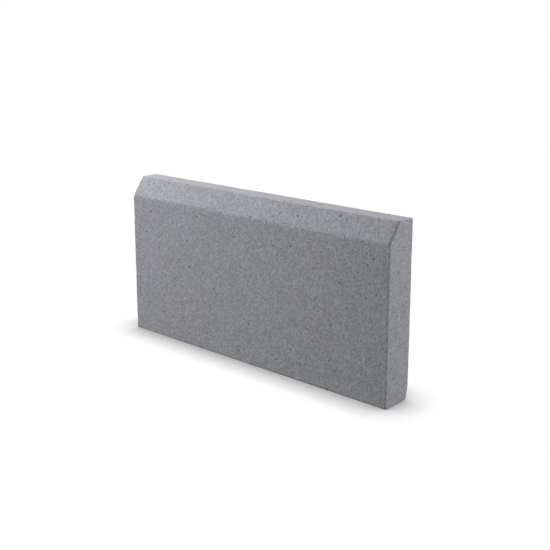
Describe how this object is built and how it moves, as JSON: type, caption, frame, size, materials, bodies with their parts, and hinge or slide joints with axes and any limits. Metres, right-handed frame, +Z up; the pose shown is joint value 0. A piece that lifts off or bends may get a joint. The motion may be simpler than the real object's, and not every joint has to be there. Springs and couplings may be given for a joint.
{
  "type": "concrete kerb stone",
  "caption": "Straight pressed concrete kerb stone of rectangular section with a sloped upper front edge, for edging paths and beds.",
  "frame": {"origin": "middle of the flat bed that the stone stands on", "axes": "+X along the stone's length, -Y out of the exposed front with the sloped upper edge, +Z up from the bed to the top"},
  "size_m": [0.5, 0.05, 0.25],
  "materials": {
    "concrete": "matt pressed concrete, fine grained and open pored, mid grey"
  },
  "bodies": {
    "root": {"kerb_stone": "concrete"}
  },
  "joints": []
}
